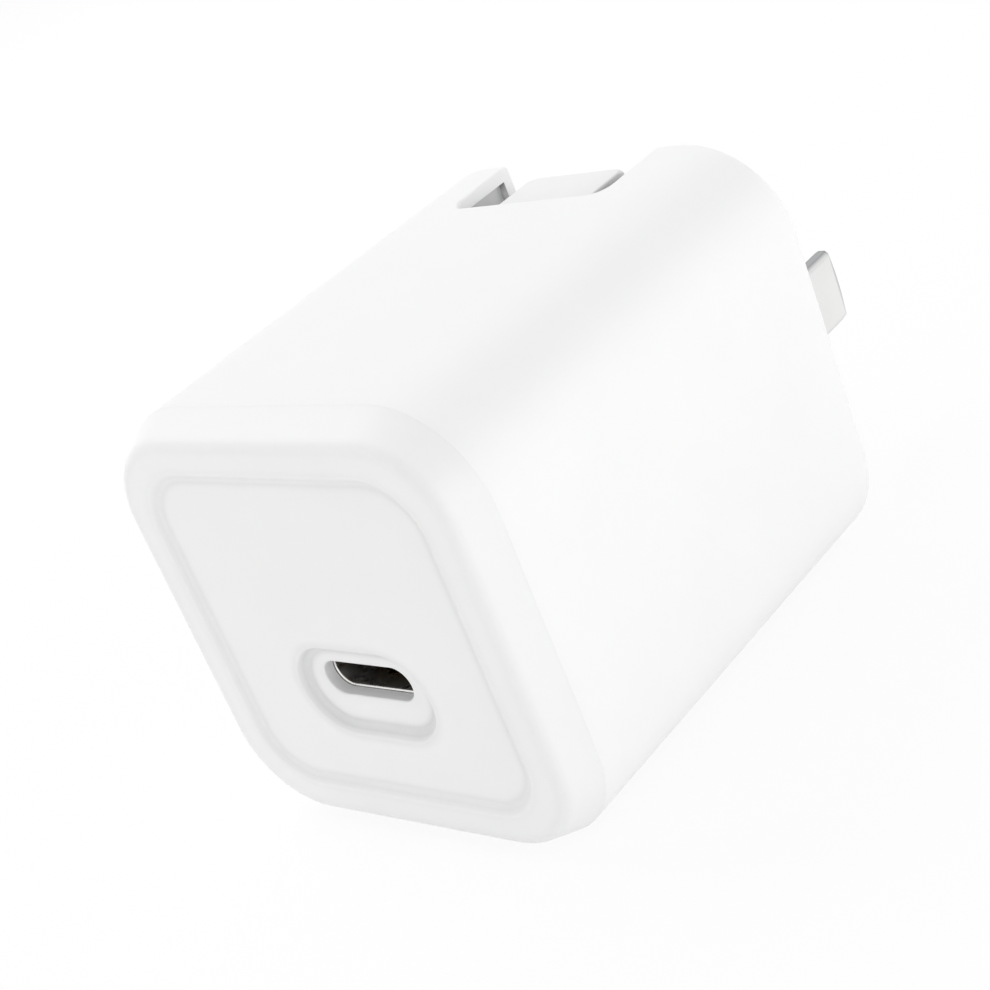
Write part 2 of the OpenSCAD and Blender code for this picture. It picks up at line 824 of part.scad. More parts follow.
module output_capacitors() {
    color("lightsteelblue")
        both_sides()
            translate([out_x, out_y, board_top_z]) upright_can(out_d, out_h);
}

module bulk_capacitors() {
    color("darkslateblue")
        for (p = [[0, bulk_z], [bulk_step, bulk_z], [bulk_step / 2, bulk_low_z]])
            translate([-bulk_l / 2, bulk_y + p[0], p[1]])
                rotate([0, 90, 0])
                    upright_can(bulk_d, bulk_l);
}

module optocoupler() {
    color("black") chip(opto_x, out_y, board_top_z, opto);
}

module sync_rectifier() {
    color("black")
        chip(-opto_x, barrier_y - drop_gap - sync[1] / 2, board_top_z, sync);
}

// the main switch hangs under the board, its back towards the wall below
module gan_switch() {
    gan_h = board_lift - drop_gap;
    color("black") chip(0, core_mid_y, board_z - gan_h, [gan_w, gan_w, gan_h]);
}

module bridge_rectifier() {
    color("black") chip(-low_x, low_y, board_top_z, [bridge_w, low_room, bridge_h]);
}

module fuse() {
    r = min(fuse_r, low_room / 2);
    color("wheat") bar_x(low_y, board_top_z + r, low_x - bridge_w / 2, low_x + bridge_w / 2, r);
}

// a round disc standing on two legs, its face along X
module disc_part(x) {
    bar_x(disc_y, disc_z, x - disc_t / 2, x + disc_t / 2, disc_r);
    for (s = [-1, 1])
        translate([x, disc_y + s * disc_r / 2, board_top_z])
            cylinder(h = disc_z - board_top_z, r = leg_r);
}

module thermistor() {
    color("darkgreen") disc_part(-disc_x);
}

module varistor() {
    color("orangered") disc_part(disc_x);
}

// it lies on the transformer, one leg down on each side of it
module y_capacitor() {
    color("cornflowerblue") {
        translate([0, core_mid_y, ycap_z - disc_t / 2]) cylinder(h = disc_t, r = disc_r);
        bar_y(0, ycap_z, ycap_front_y - leg_r, ycap_rear_y + leg_r, leg_r);
        for (y = [ycap_front_y, ycap_rear_y])
            translate([0, y, board_top_z]) cylinder(h = ycap_z - board_top_z, r = leg_r);
    }
}

module x_capacitor() {
    color("gold")
        block([xcap_x, core_y, board_top_z], [xcap_x + xcap_w, core_y + xcap_l, xcap_top_z]);
}

module choke_core() {
    color("dimgray") translate([choke_x, choke_y, choke_z])
        rotate([0, 90, 0])
            rotate_extrude()
                translate([choke_bore_r, -choke_t / 2]) square([choke_r - choke_bore_r, choke_t]);
}

module choke_windings() {
    over = choke_wire;
    color("peru") translate([choke_x, choke_y, choke_z])
        rotate([0, 90, 0])
            for (a = [0, 180])
                rotate([0, 0, a + bare_angle])
                    rotate_extrude(angle = 180 - 2 * bare_angle)
                        difference() {
                            translate([choke_bore_r - over, -choke_t / 2 - over])
                                square([choke_r - choke_bore_r + 2 * over, choke_t + 2 * over]);
                            translate([choke_bore_r - seat_gap, -choke_t / 2 - seat_gap])
                                square([choke_r - choke_bore_r + 2 * seat_gap, choke_t + 2 * seat_gap]);
                        }
}

// one half of the core: plate, two legs and half of the centre post
module core_half_part() {
    for (s = [-1, 1])
        block([s > 0 ? core_w / 2 - core_t : -core_w / 2, -core_d / 2, 0],
              [s > 0 ? core_w / 2 : core_t - core_w / 2, core_d / 2, core_half - seat_gap]);
    block([-core_w / 2, -core_d / 2, 0], [core_w / 2, core_d / 2, core_t]);
    cylinder(h = core_half - seat_gap, r = post_r);
}

module transformer_core_lower() {
    color("dimgray")
        translate([core_mid_x, core_mid_y, core_mid_z - core_half]) core_half_part();
}

module transformer_core_upper() {
    color("dimgray")
        translate([core_mid_x, core_mid_y, core_mid_z + core_half])
            mirror([0, 0, 1]) core_half_part();
}

// a tube about the transformer's centre post
module post_ring(r_in, r_out, h) {
    translate([core_mid_x, core_mid_y, core_mid_z - h / 2])
        difference() {
            cylinder(h = h, r = r_out);
            translate([0, 0, -past]) cylinder(h = h + 2 * past, r = r_in);
        }
}

module transformer_bobbin() {
    flange_h = window_h - 2 * seat_gap;
    color("black") {
        post_ring(post_r + drop_gap, bobbin_r, flange_h);
        for (s = [-1, 1])
            translate([0, 0, s * (flange_h - bobbin_t) / 2])
                post_ring(post_r + drop_gap, winding_r + tape_t, bobbin_t);
    }
}

module transformer_winding() {
    color("peru")
        post_ring(bobbin_r + seat_gap, winding_r - seat_gap, window_h - 2 * bobbin_t - 4 * seat_gap);
}

module transformer_tape() {
    color("yellow")
        post_ring(winding_r, winding_r + tape_t, window_h - 2 * bobbin_t - 4 * seat_gap);
}

module insulation_barrier() {
    color("ghostwhite")
        block([-board_w / 2, barrier_y, board_top_z],
              [board_w / 2, barrier_y + barrier_t, bulk_low_z - bulk_d / 2 - part_gap]);
}

module heat_spreader() {
    w = inner_w - 2 * inner_r;
    color("lightgray")
        block([-w / 2, inside_y, spreader_z], [w / 2, cradle_y - past, spreader_z + spreader_t]);
}

housing();
front_cap();
plug_cradle();
cradle_screws();
plug_carrier();
blade_left();
blade_right();
hinge_pin();
contact_spring_left();
contact_spring_right();
live_lead();
neutral_lead();
main_board();
usb_board();
board_link_pins();
usb_shell();
usb_tongue();
usb_contacts();
pd_controller();
output_switch();
chip_resistors();
ceramic_capacitors();
output_capacitors();
optocoupler();
sync_rectifier();
gan_switch();
bridge_rectifier();
fuse();
thermistor();
varistor();
x_capacitor();
choke_core();
choke_windings();
bulk_capacitors();
transformer_core_lower();
transformer_core_upper();
transformer_bobbin();
transformer_winding();
transformer_tape();
y_capacitor();
insulation_barrier();
heat_spreader();
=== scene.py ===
import math

import bmesh
import bpy
from mathutils import Matrix, Vector


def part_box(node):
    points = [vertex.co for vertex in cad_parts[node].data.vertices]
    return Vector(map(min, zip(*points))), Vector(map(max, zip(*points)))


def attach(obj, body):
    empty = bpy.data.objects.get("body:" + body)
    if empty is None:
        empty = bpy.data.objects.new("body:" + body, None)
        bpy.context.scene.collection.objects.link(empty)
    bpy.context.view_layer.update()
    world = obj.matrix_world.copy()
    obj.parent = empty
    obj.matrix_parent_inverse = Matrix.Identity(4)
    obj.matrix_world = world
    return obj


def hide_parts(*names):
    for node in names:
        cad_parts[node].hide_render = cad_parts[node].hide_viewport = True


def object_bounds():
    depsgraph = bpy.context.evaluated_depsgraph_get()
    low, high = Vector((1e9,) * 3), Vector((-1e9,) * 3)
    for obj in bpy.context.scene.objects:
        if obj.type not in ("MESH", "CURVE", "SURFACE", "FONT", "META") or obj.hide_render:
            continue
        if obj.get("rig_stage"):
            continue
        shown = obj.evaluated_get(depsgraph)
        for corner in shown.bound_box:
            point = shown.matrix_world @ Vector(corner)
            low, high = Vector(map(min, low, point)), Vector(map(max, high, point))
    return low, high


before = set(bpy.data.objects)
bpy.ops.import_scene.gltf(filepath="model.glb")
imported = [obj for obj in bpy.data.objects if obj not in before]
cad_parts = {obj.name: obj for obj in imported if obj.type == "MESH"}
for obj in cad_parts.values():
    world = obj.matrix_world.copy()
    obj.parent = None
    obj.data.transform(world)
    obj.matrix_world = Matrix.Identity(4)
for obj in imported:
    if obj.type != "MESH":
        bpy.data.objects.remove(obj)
cad_low, cad_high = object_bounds()


# ---- Camera ------------------------------------------------------------------
# It stands in front of the port, to the right and above, and leans to the right.
# It aims at the middle of the charger, which sits a little off the lens's axis.
mm = 0.001
azimuth, elevation, lean = math.radians(49.885), math.radians(24.840), math.radians(23.303)
aim = Vector((-3.930, -5.704, 15.811)) * mm
distance = 149.363 * mm
bpy.ops.object.camera_add()
camera = bpy.context.object
turn = Matrix.Rotation(azimuth, 4, "Z") @ Matrix.Rotation(math.pi / 2 - elevation, 4, "X")
turn = turn @ Matrix.Rotation(-lean, 4, "Z")
camera.matrix_world = Matrix.Translation(aim) @ turn @ Matrix.Translation((0, 0, distance))
camera.data.lens = 71.647
camera.data.sensor_width = 36
camera.data.shift_x = 0.065
camera.data.shift_y = 0.05
camera.data.clip_start = mm
bpy.context.scene.camera = camera


# ---- Front cap ---------------------------------------------------------------
# A bevelled cap of white polycarbonate, injection moulded with a fine satin finish.
# Its face has a sunken panel, and in that a pill-shaped pocket round the port.
# A skirt behind it enters the housing, where it is welded.
body_w = 35 * mm
corner_r = 7.9 * mm
wall = 1.8 * mm
front_y = cad_low.y
mid_z = body_w / 2
crease_y = front_y + 3.1 * mm
bevel_inset = 1.35 * mm
panel_margin = 3.8 * mm
panel_r = 4.7 * mm
panel_drop, panel_slope = 0.5 * mm, 0.5 * mm
panel_y = front_y + panel_drop
port_z = 13.4 * mm
pocket_z = port_z - 0.65 * mm
pocket_w, pocket_h = 13.1 * mm, 7.7 * mm
pocket_slope = 0.4 * mm
pocket_y = panel_y + 0.8 * mm
mouth_w, mouth_h = 8.64 * mm, 2.9 * mm
mouth_l = 1 * mm
cap_back_y = pocket_y + mouth_l
skirt_gap, skirt_t, skirt_l = 0.1 * mm, 0.9 * mm, 2.4 * mm
# radii of the face's edges, from the rim inwards
bevel_edge_r, rim_edge_r, panel_foot_r = 0.9 * mm, 0.5 * mm, 0.8 * mm
pocket_edge_r, pocket_foot_r, mouth_edge_r = 0.3 * mm, 0.6 * mm, 0.15 * mm
rim_inset, floor_inset = panel_margin - 0.1 * mm, 5.6 * mm
# flat rings outside and inside the pocket's slope, and outside the mouth
pocket_outset, pocket_floor_inset, mouth_outset = 0.5 * mm, 1.4 * mm, 0.2 * mm
corner_steps, edge_steps = 14, 6


def softened(corners, steps=4):
    """A line through the corners, each (a, b, radius), with an arc where the radius isn't zero."""
    points = []
    for number, (a, b, radius) in enumerate(corners):
        here = Vector((a, b))
        if radius == 0:
            points.append(here)
            continue
        before = (Vector(corners[number - 1][:2]) - here).normalized()
        after = (Vector(corners[number + 1][:2]) - here).normalized()
        half = before.angle(after) / 2
        centre = here + (before + after).normalized() * radius / math.sin(half)
        reach = radius / math.tan(half)
        start, end = here + before * reach - centre, here + after * reach - centre
        for step in range(steps + 1):
            points.append(centre + start.lerp(end, step / steps).normalized() * radius)
    return points


def outline(width, height, radius, steps):
    """The points of an upright rectangle with round corners, as (x, z) pairs."""
    points = []
    for corner, (side_x, side_z) in enumerate(((1, 1), (-1, 1), (-1, -1), (1, -1))):
        for step in range(steps + 1):
            turn = math.radians(90 * (corner + step / steps))
            points.append((side_x * (width / 2 - radius) + radius * math.cos(turn),
                           side_z * (height / 2 - radius) + radius * math.sin(turn)))
    return points


def only(piece):
    """Leaves this piece alone selected and active."""
    bpy.ops.object.select_all(action="DESELECT")
    piece.select_set(True)
    bpy.context.view_layer.objects.active = piece


def loft(name, rings, closed=False, steps=corner_steps):
    """A shell through rings of (width, height, radius, y, z), its ends filled or joined."""
    bpy.ops.object.select_all(action="DESELECT")
    count = 4 * (steps + 1)
    bpy.ops.mesh.primitive_circle_add(vertices=count, radius=mm)
    shell = bpy.context.object
    shell.name = name
    bpy.ops.object.mode_set(mode="EDIT")
    for number, (width, height, radius, y, z) in enumerate(rings):
        if number:
            bpy.ops.mesh.extrude_edges_indiv()
        mesh = bmesh.from_edit_mesh(shell.data)
        chosen = sorted((v for v in mesh.verts if v.select), key=lambda v: v.index)
        for vertex, (x, up) in zip(chosen, outline(width, height, radius, steps)):
            vertex.co = (x, y, z + up)
        bmesh.update_edit_mesh(shell.data)
    if not closed:
        bpy.ops.mesh.edge_face_add()
        bpy.ops.mesh.select_all(action="DESELECT")
    mesh = bmesh.from_edit_mesh(shell.data)
    mesh.verts.ensure_lookup_table()
    for vertex in mesh.verts[:count]:
        vertex.select = True
    mesh.select_flush(True)
    if closed:
        bpy.ops.mesh.bridge_edge_loops()
    else:
        bpy.ops.mesh.edge_face_add()
    bpy.ops.mesh.select_all(action="SELECT")
    bpy.ops.mesh.normals_make_consistent(inside=False)
    bpy.ops.object.mode_set(mode="OBJECT")
    return shell


def smooth(piece, sharp_angle=35):
    """Smooths the curved faces, keeps flat ones flat and puts the piece's origin at the frame's."""
    only(piece)
    bpy.ops.object.transform_apply(location=True, rotation=True, scale=True)
    bpy.ops.object.shade_smooth_by_angle(angle=math.radians(sharp_angle))
    weighted = piece.modifiers.new("flat faces", "WEIGHTED_NORMAL")
    weighted.keep_sharp = True
    bpy.ops.object.modifier_apply(modifier=weighted.name)


def even(inset, y):
    """A ring of the casing's wall, drawn in evenly."""
    return (body_w - 2 * inset, body_w - 2 * inset, corner_r - inset, y, mid_z)


def face_ring(inset, y):
    """A ring of the cap's face: even over the bevel, then with the panel's own corners."""
    radius = corner_r - inset if inset < bevel_inset * 1.5 else panel_r + panel_margin - inset
    return (body_w - 2 * inset, body_w - 2 * inset, radius, y, mid_z)


def pill(width, height, z, inset, y):
    """A ring with round ends, drawn in evenly. A hair of each end stays flat."""
    height -= 2 * inset
    return (width - 2 * inset, height, height * 0.49, y, z)


face_line = softened([(0, crease_y, 0), (bevel_inset, front_y, bevel_edge_r),
                      (rim_inset, front_y, rim_edge_r),
                      (panel_margin + panel_slope, panel_y, panel_foot_r),
                      (floor_inset, panel_y, 0)], edge_steps)
pocket_line = softened([(-pocket_outset, panel_y, 0), (0, panel_y, pocket_edge_r),
                        (pocket_slope, pocket_y, pocket_foot_r),
                        (pocket_floor_inset, pocket_y, 0)], edge_steps)
mouth_line = softened([(-mouth_outset, pocket_y, 0), (0, pocket_y, mouth_edge_r),
                       (0, cap_back_y, 0)])
skirt_end_y = crease_y + skirt_l
skirt_out, skirt_in = wall + skirt_gap, wall + skirt_gap + skirt_t
skirt_line = ((skirt_in, cap_back_y), (skirt_in, skirt_end_y),
              (skirt_out, skirt_end_y), (skirt_out, crease_y))
rings = [face_ring(*point) for point in face_line]
rings += [pill(pocket_w, pocket_h, pocket_z, *point) for point in pocket_line]
rings += [pill(mouth_w, mouth_h, port_z, *point) for point in mouth_line]
rings += [even(*point) for point in skirt_line]
cap = loft("front_cap_moulding", rings, closed=True)
smooth(cap)


def linear(colour):
    """A colour written as #rrggbb in sRGB, as the linear colour that a shader takes."""
    parts = [int(colour[i:i + 2], 16) / 255 for i in (1, 3, 5)]
    return [c / 12.92 if c < 0.04045 else ((c + 0.055) / 1.055) ** 2.4 for c in parts] + [1]


def add(material, kind, inputs, **settings):
    """Adds one node to a tree, with its settings and what its sockets are given or joined to."""
    made = material.node_tree.nodes.new("ShaderNode" + kind)
    for name, value in settings.items():
        setattr(made, name, value)
    for name, value in inputs.items():
        if isinstance(value, bpy.types.NodeSocket):
            material.node_tree.links.new(value, made.inputs[name])
        else:
            made.inputs[name].default_value = value
    return made


def surface(name, **sockets):
    """A new material with its shader's sockets set, with the shader and the piece's own place."""
    material = bpy.data.materials.new(name)
    material.use_nodes = True
    shader = material.node_tree.nodes["Principled BSDF"]
    for socket, value in sockets.items():
        shader.inputs[socket.replace("_", " ")].default_value = value
    place = add(material, "TexCoord", {}).outputs["Object"]
    return material, shader, place


def per_metre(size_mm):
    """A pattern's scale, from the size of one of its features in millimetres."""
    return 1 / (size_mm * mm)


def grained(material, shader, place, light, dark, patch_mm, grain_mm, depth_mm, rough):
    """Two close colours in soft patches, and a fine grain that also varies the roughness."""
    tree = material.node_tree
    patches = add(material, "TexNoise", {"Vector": place, "Scale": per_metre(patch_mm),
                                         "Detail": 2.0})
    colours = add(material, "Mix", {"Factor": patches.outputs["Fac"], "A": linear(dark),
                                    "B": linear(light)}, data_type="RGBA")
    tree.links.new(colours.outputs["Result"], shader.inputs["Base Color"])
    grain = add(material, "TexNoise", {"Vector": place, "Scale": per_metre(grain_mm),
                                       "Detail": 3.0})
    bump = add(material, "Bump", {"Height": grain.outputs["Fac"], "Distance": depth_mm * mm,
                                  "Strength": 1.0})
    tree.links.new(bump.outputs["Normal"], shader.inputs["Normal"])
    spread = add(material, "MapRange", {"Value": grain.outputs["Fac"], "To Min": rough * 0.9,
                                        "To Max": rough * 1.1})
    tree.links.new(spread.outputs["Result"], shader.inputs["Roughness"])


def paint_shade(material, shader, reach_mm, darkest, **settings):
    """Paints shade into the colour: greys it within a short reach of hollows, or of raised edges
    when inside is set.

    The darkest share is reached where 0.3 of the view round a point is closed.
    """
    near = add(material, "AmbientOcclusion", {"Distance": reach_mm * mm}, samples=8, **settings)
    share = add(material, "MapRange", {"Value": near.outputs["AO"], "From Min": 0.7,
                                       "From Max": 1.0, "To Min": darkest, "To Max": 1.0})
    colour = shader.inputs["Base Color"].links[0].from_socket
    grey = add(material, "VectorMath", {0: colour, "Scale": share.outputs["Result"]},
               operation="SCALE")
    material.node_tree.links.new(grey.outputs["Vector"], shader.inputs["Base Color"])


def white_polycarbonate():
    """Moulded polycarbonate: even white, a soft satin sheen, and a grain too fine to feel.

    The mould's grain is about 0.05 mm, and is drawn at 0.2 mm so that it shows. Painted shade
    greys the colour in the hollows and along the raised edge round the rim of the face.
    """
    material, shader, place = surface("white_polycarbonate", IOR=1.58)
    grained(material, shader, place, "#f7f7f7", "#f4f4f4", 9, 0.2, 0.0015, 0.36)
    # painted shade: within a millimetre of hollows the colour greys, down to half where they close
    # in
    paint_shade(material, shader, 1.0, 0.5, only_local=True)
    # painted shade on the raised edges, greying the colour to 0.85 near the face, ends a millimetre
    # and a half behind the rim
    depth = add(material, "SeparateXYZ", {"Vector": place})
    rim = add(material, "MapRange", {"Value": depth.outputs["Y"], "From Min": front_y + 0.5 * mm,
                                     "From Max": front_y + 1.5 * mm, "To Min": 0.85,
                                     "To Max": 1.0})
    paint_shade(material, shader, 0.9, rim.outputs["Result"], only_local=True, inside=True)
    shader.inputs["Subsurface Weight"].default_value = 0.06
    shader.inputs["Subsurface Radius"].default_value = (0.9 * mm, 0.8 * mm, 0.7 * mm)
    shader.inputs["Subsurface Scale"].default_value = 1
    return material


def dress(piece, material, body, slot, *nodes):
    """Gives a piece its material, its body and the nodes that it stands for. The slot is not used.
    """
    piece.data.materials.clear()
    piece.data.materials.append(material)
    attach(piece, body)
    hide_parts(*nodes)


casing_white = white_polycarbonate()
dress(cap, casing_white, "charger_body", "casing_white", "front_cap")


# ---- Housing -----------------------------------------------------------------
# A square tube with large round edges and a closed rear, moulded in the cap's resin.
# A notch runs from its top over into its rear, for the folding plug.
# Inside are two bosses for screws and two rails for the main board.
rear_y = front_y + 41.4 * mm
rear_edge_r = 0.45 * mm
inner_rear_y = rear_y - wall
hinge_y, hinge_z = rear_y - 3.3 * mm, 12.8 * mm
notch_half_w = 7.6 * mm
notch_y = hinge_y - 4.605 * mm
notch_low_z = hinge_z - 3.4 * mm
notch_r = 1.5 * mm
notch_edge_r = 0.22 * mm
lip_t, strip_t = 1 * mm, 1.08 * mm
lip_z = body_w - lip_t
cradle_half_w = 9.1 * mm
cradle_y = notch_y - 0.9 * mm
drop_gap = 0.1 * mm
seam = 0.03 * mm
boss_x, boss_z, boss_r, boss_l = 11.4 * mm, mid_z + 4.5 * mm, 2 * mm, 3 * mm
bore_r = 0.8 * mm
rail_x, rail_w, board_z = 8.13 * mm, 1 * mm, 2.9 * mm
rail_y, rail_rear_y = crease_y + 5.7 * mm, inner_rear_y - 1.2 * mm
relief_z = hinge_z - 4.4 * mm
round_steps, rod_sides = 8, 64


def block(name, low, high):
    """A box between two corners."""
    bpy.ops.object.select_all(action="DESELECT")
    low, high = Vector(low), Vector(high)
    bpy.ops.mesh.primitive_cube_add(size=1, location=(low + high) / 2, scale=high - low)
    made = bpy.context.object
    made.name = name
    bpy.ops.object.transform_apply(location=True, rotation=True, scale=True)
    return made


def rod(name, start, end, radius):
    """A round bar from one point to another."""
    bpy.ops.object.select_all(action="DESELECT")
    start, end = Vector(start), Vector(end)
    bpy.ops.mesh.primitive_cylinder_add(vertices=rod_sides, radius=radius,
                                        depth=(end - start).length, location=(start + end) / 2)
    made = bpy.context.object
    made.name = name
    made.rotation_mode = "QUATERNION"
    made.rotation_quaternion = (end - start).to_track_quat("Z", "Y")
    bpy.ops.object.transform_apply(location=True, rotation=True, scale=True)
    return made


def combine(piece, tool, how):
    """Unites a piece with a tool shape, or cuts it with one, and removes the tool."""
    only(piece)
    step = piece.modifiers.new(how, "BOOLEAN")
    step.object = tool
    step.operation = how
    step.solver = "EXACT"
    bpy.ops.object.modifier_apply(modifier=step.name)
    bpy.data.objects.remove(tool)


def soften_edges(piece, width, wanted, segments=3):
    """Bevels the edges that wanted picks, by their middle, direction and faces' angle."""
    only(piece)
    bpy.ops.object.mode_set(mode="EDIT")
    bpy.ops.mesh.select_mode(type="EDGE")
    bpy.ops.mesh.select_all(action="DESELECT")
    mesh = bmesh.from_edit_mesh(piece.data)
    for edge in mesh.edges:
        first, second = (vertex.co for vertex in edge.verts)
        angle = math.degrees(edge.calc_face_angle(0))
        edge.select_set(wanted((first + second) / 2, first - second, angle))
    bmesh.update_edit_mesh(piece.data)
    bpy.ops.mesh.bevel(offset=width, segments=segments, affect="EDGES")
    bpy.ops.object.mode_set(mode="OBJECT")


tube_line = softened([(0, crease_y, 0), (0, rear_y, rear_edge_r), (1 * mm, rear_y, 0)], 5)
# the tube's front edge enters the cap by a hair, as the weld leaves it
rings = [even(wall, inner_rear_y), even(wall, crease_y - seam), even(seam, crease_y - seam)]
rings += [even(*point) for point in tube_line[:-1]]
housing = loft("housing_moulding", rings)
for side in (-1, 1):
    boss = rod("boss", (side * boss_x, inner_rear_y - boss_l, boss_z),
               (side * boss_x, inner_rear_y + wall / 2, boss_z), boss_r)
    combine(housing, boss, "UNION")
    bore = rod("bore", (side * boss_x, inner_rear_y - boss_l - mm, boss_z),
               (side * boss_x, inner_rear_y, boss_z), bore_r)
    combine(housing, bore, "DIFFERENCE")
    near, far = sorted((side * rail_x, side * (rail_x + rail_w)))
    rail = block("rail", (near, rail_y, wall / 2), (far, rail_rear_y, board_z))
    combine(housing, rail, "UNION")
notch = block("notch", (-notch_half_w, notch_y, lip_z - mm),
              (notch_half_w, rear_y + mm, body_w + mm))
soften_edges(notch, notch_r, lambda middle, along, angle:
             abs(along.z) > mm and middle.y < notch_y + mm, segments=round_steps)
combine(housing, notch, "DIFFERENCE")
opening = block("opening", (-notch_half_w, inner_rear_y - mm, notch_low_z),
                (notch_half_w, rear_y + mm, lip_z))
soften_edges(opening, notch_r, lambda middle, along, angle:
             abs(along.y) > mm and middle.z < notch_low_z + mm, segments=round_steps)
combine(housing, opening, "DIFFERENCE")
# the rear wall round the opening reaches almost to the cradle, so no gap shows between them
relief = block("relief", (-cradle_half_w - drop_gap, cradle_y - drop_gap, relief_z),
               (cradle_half_w + drop_gap, rear_y - strip_t, lip_z))
combine(housing, relief, "DIFFERENCE")
soften_edges(housing, notch_edge_r, lambda middle, along, angle:
             angle > 50 and abs(middle.x) < notch_half_w + drop_gap
             and (middle.z > body_w - 0.5 * lip_t or middle.y > rear_y - 0.5 * lip_t))
smooth(housing)
dress(housing, casing_white, "charger_body", "casing_white", "housing")


# ---- Plug cradle -------------------------------------------------------------
# The inner moulding that the plug turns and folds in: two slots for the blades and a
# rib between them that lies just under the casing's top. It is moulded of the same
# resin with a duller mould, and two screws hold it to the housing's bosses.
rib_w = 9.6 * mm
rib_top_z = lip_z
rib_y, rib_rear_y = notch_y + 0.3 * mm, rear_y - 0.5 * mm
rib_corner_r, rib_edge_r, rib_rear_r = 1.2 * mm, 0.3 * mm, 0.8 * mm
rib_wall = 0.9 * mm
# the rib's foot reaches through the cradle's floor, a hair inside the rib's own faces
hair = 0.01 * mm
foot_y, foot_rear_y = cradle_y + 0.2 * mm, rib_y + 2 * mm
foot_z, foot_top_z = hinge_z + 0.05 * mm, lip_z - 0.11 * mm
chamber_r = 3.4 * mm
hinge = Vector((0, hinge_y, hinge_z))
across = Vector((1, 0, 0))


def cross_rod(name, near_x, far_x, radius):
    """A round bar on the hinge's axis, between two distances from the middle."""
    return rod(name, hinge + across * near_x, hinge + across * far_x, radius)


def merged_copy(node, name):
    """A copy of a CAD node with its loose triangles joined into whole faces."""
    only(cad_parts[node])
    bpy.ops.object.duplicate()
    copy = bpy.context.object
    copy.name = name
    for key in list(copy.keys()):
        if key.startswith("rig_"):
            del copy[key]
    world = copy.matrix_world.copy()
    copy.parent = None
    copy.matrix_world = world
    bpy.ops.object.mode_set(mode="EDIT")
    bpy.ops.mesh.customdata_custom_splitnormals_clear()
    bpy.ops.mesh.select_all(action="SELECT")
    bpy.ops.mesh.remove_doubles(threshold=0.001 * mm)
    bpy.ops.mesh.dissolve_limited(angle_limit=math.radians(0.5))
    bpy.ops.object.mode_set(mode="OBJECT")
    return copy


# the rib is lofted upwards: its top edge is a little round, and its rear edge much more
rings = [(rib_w, rib_rear_y - rib_y, rib_corner_r, hinge_z, (rib_y + rib_rear_y) / 2)]
for step in range(round_steps + 1):
    turn = math.radians(90 * step / round_steps)
    depth = rib_rear_r * (1 - math.sin(turn))
    rear = rib_rear_r * (1 - math.cos(turn))
    rest = max(rib_edge_r - depth, 0)
    side = rib_edge_r - math.sqrt(rib_edge_r ** 2 - rest ** 2)
    low, high = rib_y + side, rib_rear_y - rear
    rings.append((rib_w - 2 * side, high - low, rib_corner_r - side, rib_top_z - depth,
                  (low + high) / 2))
rib = loft("rib", rings)
# a loft runs along Y, so Y and Z change places to stand the rib up
rib.data.transform(Matrix(((1, 0, 0, 0), (0, 0, 1, 0), (0, 1, 0, 0), (0, 0, 0, 1))))
rib.data.flip_normals()
foot = block("foot", (-rib_w / 2 + hair, foot_y, foot_z),
             (rib_w / 2 - hair, foot_rear_y, foot_top_z))
combine(rib, foot, "UNION")
combine(rib, cross_rod("sweep", -rib_w, rib_w, chamber_r), "DIFFERENCE")
hollow = block("hollow", (rib_wall - rib_w / 2, cradle_y - mm, hinge_z + chamber_r + rib_wall),
               (rib_w / 2 - rib_wall, rib_rear_y - rib_wall, rib_top_z - rib_wall))
combine(rib, hollow, "DIFFERENCE")
cradle = merged_copy("plug_cradle", "cradle_moulding")
# the solid's own plain rib comes off, a hair wide of its faces
plain_rib = block("plain rib", (-rib_w / 2 - 2 * hair, notch_y + hair, hinge_z - 10 * hair),
                  (rib_w / 2 + 2 * hair, rear_y, body_w))
combine(cradle, plain_rib, "DIFFERENCE")
combine(cradle, rib, "UNION")
smooth(cradle, 25)


def satin_polycarbonate():
    """The same resin from a duller mould, so it has less sheen than the casing. Its hollows carry
    painted shade.
    """
    material, shader, place = surface("satin_polycarbonate", IOR=1.58)
    grained(material, shader, place, "#f3f3f3", "#efefef", 6, 0.25, 0.003, 0.5)
    # painted shade: within 5 mm of hollows and of the casing over it, the colour greys down to 0.7
    paint_shade(material, shader, 5, 0.7)
    return material


cradle_white = satin_polycarbonate()
dress(cradle, cradle_white, "charger_body", "casing_white", "plug_cradle")


# ---- Plug carrier ------------------------------------------------------------
# The barrel between the blades, which turns with them on the hinge pin. It is moulded
# of glass-filled nylon round the blades' roots, with flats that lie level with the rib
# when the plug is out, and again when it is folded.
barrel_r, flat = 3.15 * mm, 2.85 * mm
barrel_half_w = 5.58 * mm
barrel_edge_r, cheek_edge_r = 0.18 * mm, 0.1 * mm
core_r, cheek_r, cheek_t, cheek_x = 1.6 * mm, 2.2 * mm, 0.5 * mm, 7.62 * mm
core_half_w = cheek_x - cheek_t / 2

carrier = cross_rod("plug_barrel", -barrel_half_w, barrel_half_w, barrel_r)
soften_edges(carrier, barrel_edge_r, lambda middle, along, angle: angle > 40)
# one flat is cut at the rear and one underneath
for low, high in (((-barrel_r, flat, -2 * barrel_r), (barrel_r, 2 * barrel_r, 2 * barrel_r)),
                  ((-barrel_r, -2 * barrel_r, -2 * barrel_r), (barrel_r, 2 * barrel_r, -flat))):
    low, high = hinge + Vector(low), hinge + Vector(high)
    flat_side = block("flat", low - across * barrel_r, high + across * barrel_r)
    combine(carrier, flat_side, "DIFFERENCE")
combine(carrier, cross_rod("core", -core_half_w, core_half_w, core_r), "UNION")
for side in (-1, 1):
    cheek = cross_rod("cheek", side * (cheek_x - cheek_t), side * cheek_x, cheek_r)
    soften_edges(cheek, cheek_edge_r, lambda middle, along, angle: angle > 40)
    combine(carrier, cheek, "UNION")
smooth(carrier, 20)


